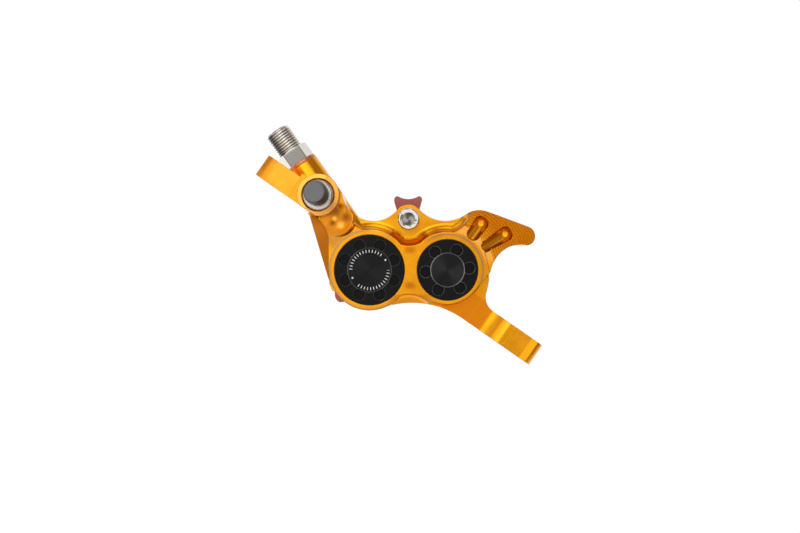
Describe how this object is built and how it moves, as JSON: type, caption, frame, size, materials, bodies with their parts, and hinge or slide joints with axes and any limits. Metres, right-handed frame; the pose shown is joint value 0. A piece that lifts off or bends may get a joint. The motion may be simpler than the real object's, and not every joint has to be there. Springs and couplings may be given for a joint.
{
  "type": "bicycle disc brake caliper",
  "caption": "Orange four-piston bicycle disc brake caliper for a post mount, with black bore caps, sliding pads on a pin, bleed nipple and hose connector.",
  "frame": {"origin": "midway between the two mounting bolts, on the plane where the ears sit on the posts", "axes": "+X along the line of bolts to the arm on the horn's side, +Y from the outer face towards the wheel, +Z away from the posts"},
  "size_m": [0.0943, 0.0473, 0.046],
  "materials": {
    "body_orange": "orange anodised, satin",
    "cap_black": "black anodised, turned",
    "seal_rubber": "matte",
    "piston_steel": "ground",
    "plate_red": "dusty red-brown coating",
    "lining_grey": "pressed friction compound",
    "spring_steel": "spring steel",
    "pin_steel": "turned stainless",
    "nipple_steel": "turned stainless",
    "cap_rubber": "moulded",
    "connector_steel": "machined stainless",
    "washer_copper": "plain copper"
  },
  "bodies": {
    "caliper": {"caliper_body": "body_orange", "outer_cap_large": "cap_black", "outer_cap_small": "cap_black", "cap_ring_large": "seal_rubber", "cap_ring_small": "seal_rubber", "outer_seal_large": "seal_rubber", "outer_seal_small": "seal_rubber", "inner_seal_large": "seal_rubber", "inner_seal_small": "seal_rubber", "pad_spring": "spring_steel", "pad_pin": "pin_steel", "pad_pin_clip": "spring_steel", "hose_connector": "connector_steel", "connector_washer": "washer_copper"},
    "outer_pad": {"outer_pad_plate": "plate_red", "outer_pad_lining": "lining_grey"},
    "inner_pad": {"inner_pad_plate": "plate_red", "inner_pad_lining": "lining_grey"},
    "outer_piston_a": {"outer_piston_large": "piston_steel"},
    "outer_piston_b": {"outer_piston_small": "piston_steel"},
    "inner_piston_a": {"inner_piston_large": "piston_steel"},
    "inner_piston_b": {"inner_piston_small": "piston_steel"},
    "nipple": {"bleed_nipple": "nipple_steel"},
    "dust_cap": {"bleed_cap": "cap_rubber"}
  },
  "joints": [
    {"name": "outer_pad_slide", "type": "slide", "parent": "caliper", "child": "outer_pad", "axis": [0, 1, 0], "range_m": [0, 0.001]},
    {"name": "inner_pad_slide", "type": "slide", "parent": "caliper", "child": "inner_pad", "axis": [0, -1, 0], "range_m": [0, 0.001]},
    {"name": "outer_piston_large_slide", "type": "slide", "parent": "caliper", "child": "outer_piston_a", "axis": [0, 1, 0], "range_m": [0, 0.001]},
    {"name": "outer_piston_small_slide", "type": "slide", "parent": "caliper", "child": "outer_piston_b", "axis": [0, 1, 0], "range_m": [0, 0.001]},
    {"name": "inner_piston_large_slide", "type": "slide", "parent": "caliper", "child": "inner_piston_a", "axis": [0, -1, 0], "range_m": [0, 0.001]},
    {"name": "inner_piston_small_slide", "type": "slide", "parent": "caliper", "child": "inner_piston_b", "axis": [0, -1, 0], "range_m": [0, 0.001]},
    {"name": "bleed_nipple_turn", "type": "hinge", "parent": "caliper", "child": "nipple", "pos_m": [-0.027, -0.005, 0.00496], "axis": [0, -1, 0], "range_deg": [0, 180]},
    {"name": "bleed_cap_pull", "type": "slide", "parent": "nipple", "child": "dust_cap", "axis": [0, -1, 0], "range_m": [0, 0.015]}
  ],
  "couplings": [
    {"joint": "inner_pad_slide", "follows": "outer_pad_slide", "ratio": 1},
    {"joint": "outer_piston_large_slide", "follows": "outer_pad_slide", "ratio": 1},
    {"joint": "outer_piston_small_slide", "follows": "outer_pad_slide", "ratio": 1},
    {"joint": "inner_piston_large_slide", "follows": "outer_pad_slide", "ratio": 1},
    {"joint": "inner_piston_small_slide", "follows": "outer_pad_slide", "ratio": 1}
  ]
}
